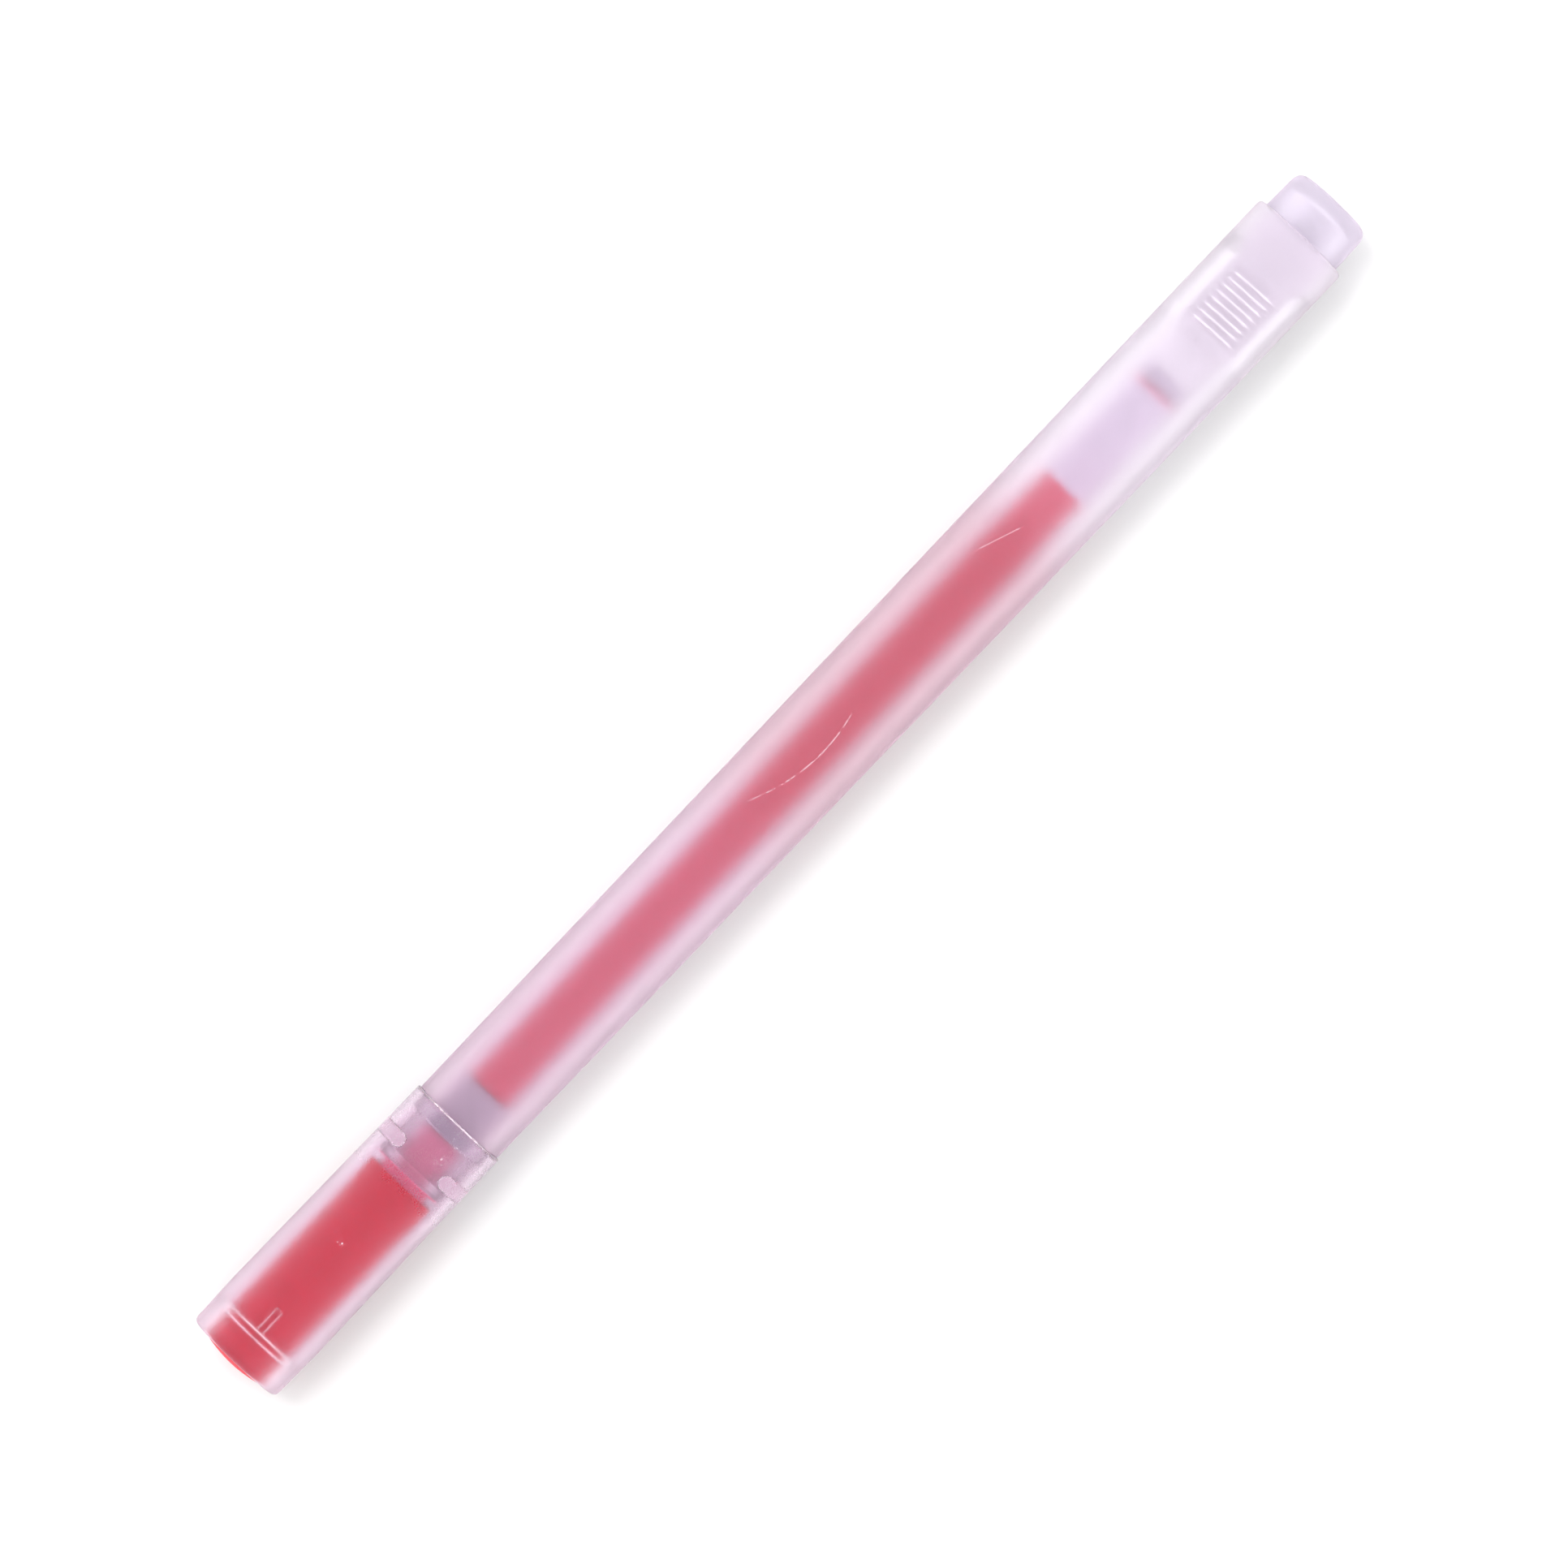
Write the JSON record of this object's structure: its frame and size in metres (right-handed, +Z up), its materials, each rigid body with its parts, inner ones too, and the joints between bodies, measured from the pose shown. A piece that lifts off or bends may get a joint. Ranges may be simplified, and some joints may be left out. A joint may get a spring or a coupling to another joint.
{
  "type": "brush pen",
  "caption": "Slim round capped brush pen with a frosted barrel, a coloured sealing cup in the cap, a fibre ink refill and a screwed tail plug.",
  "frame": {"origin": "middle of the pen's length, below its axis, on the surface that the capped pen lies on", "axes": "+X along the pen from the cap's crown to the tail plug, +Z up from the surface, +Y completes the right-handed frame"},
  "size_m": [0.142, 0.01, 0.0101],
  "materials": {
    "frosted_cap": "frosted translucent moulding",
    "red_plastic": "glossy moulded",
    "frosted_barrel": "frosted translucent moulding",
    "natural_plastic": "translucent moulding with ink behind it",
    "ferrule_plastic": "moulded",
    "bristle": "tapered nylon bristles wet with ink",
    "inked_fibre": "bonded fibre rod",
    "grey_plastic": "moulded",
    "ink_reservoir": "bonded fibre core, ink soaked up to its last ninth",
    "clear_film": "clear plastic film",
    "frosted_plug": "frosted translucent moulding"
  },
  "bodies": {
    "barrel": {"barrel": "frosted_barrel", "nib_holder": "natural_plastic", "brush_ferrule": "ferrule_plastic", "brush_tip": "bristle", "feed_rod": "inked_fibre", "feed_collar": "grey_plastic"},
    "cap": {"cap_shell": "frosted_cap", "inner_cap": "red_plastic"},
    "refill": {"ink_reservoir": "ink_reservoir", "reservoir_film": "clear_film"},
    "tail_plug": {"tail_plug": "frosted_plug"}
  },
  "joints": [
    {"name": "cap_pull", "type": "slide", "parent": "barrel", "child": "cap", "axis": [-1, 0, 0], "range_m": [0, 0.045]},
    {"name": "tail_plug_travel", "type": "slide", "parent": "barrel", "child": "refill", "axis": [1, 0, 0], "range_m": [0, 0.00675]},
    {"name": "tail_plug_turn", "type": "hinge", "parent": "refill", "child": "tail_plug", "pos_m": [0.06, 0, 0.00505], "axis": [1, 0, 0], "range_deg": [0, 3240]}
  ],
  "couplings": [
    {"joint": "tail_plug_turn", "follows": "tail_plug_travel", "rad_per_m": 8377.6}
  ]
}
